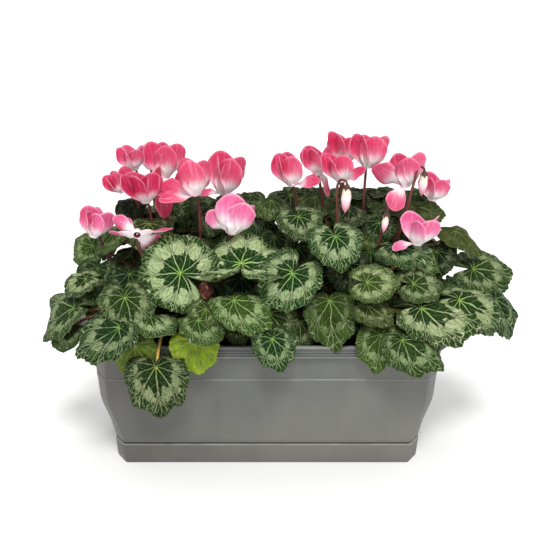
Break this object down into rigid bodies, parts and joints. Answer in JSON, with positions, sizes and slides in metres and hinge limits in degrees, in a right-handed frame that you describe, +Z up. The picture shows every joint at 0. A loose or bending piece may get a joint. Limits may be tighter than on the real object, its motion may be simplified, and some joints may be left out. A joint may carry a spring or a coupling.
{
  "type": "potted cyclamen",
  "caption": "Flowering cyclamen plants with marbled heart-shaped leaves and nodding blooms, growing in a long plastic window box on its tray.",
  "frame": {"origin": "on the surface the tray stands on, under the middle of the tray", "axes": "+X along the window box, +Y towards its back, +Z up"},
  "size_m": [0.488, 0.2357, 0.3401],
  "materials": {
    "plastic": "satin",
    "soil": "matte",
    "foliage": "satin",
    "petal": "satin",
    "bud": "satin"
  },
  "bodies": {
    "root": {"left_bloom_1": "petal", "left_bloom_10": "petal", "left_bloom_11": "petal", "left_bloom_2": "petal", "left_bloom_3": "petal", "left_bloom_4": "petal", "left_bloom_5": "petal", "left_bloom_6": "petal", "left_bloom_7": "petal", "left_bloom_8": "petal", "left_bloom_9": "petal", "left_plant": "foliage", "right_bloom_1": "petal", "right_bloom_2": "petal", "right_bloom_3": "petal", "right_bloom_4": "petal", "right_bloom_5": "petal", "right_bloom_6": "petal", "right_bloom_7": "petal", "right_bloom_8": "petal", "right_bud_1": "bud", "right_bud_2": "bud", "right_bud_3": "bud", "right_plant": "foliage", "soil": "soil", "tray": "plastic", "window_box": "plastic"}
  },
  "joints": []
}
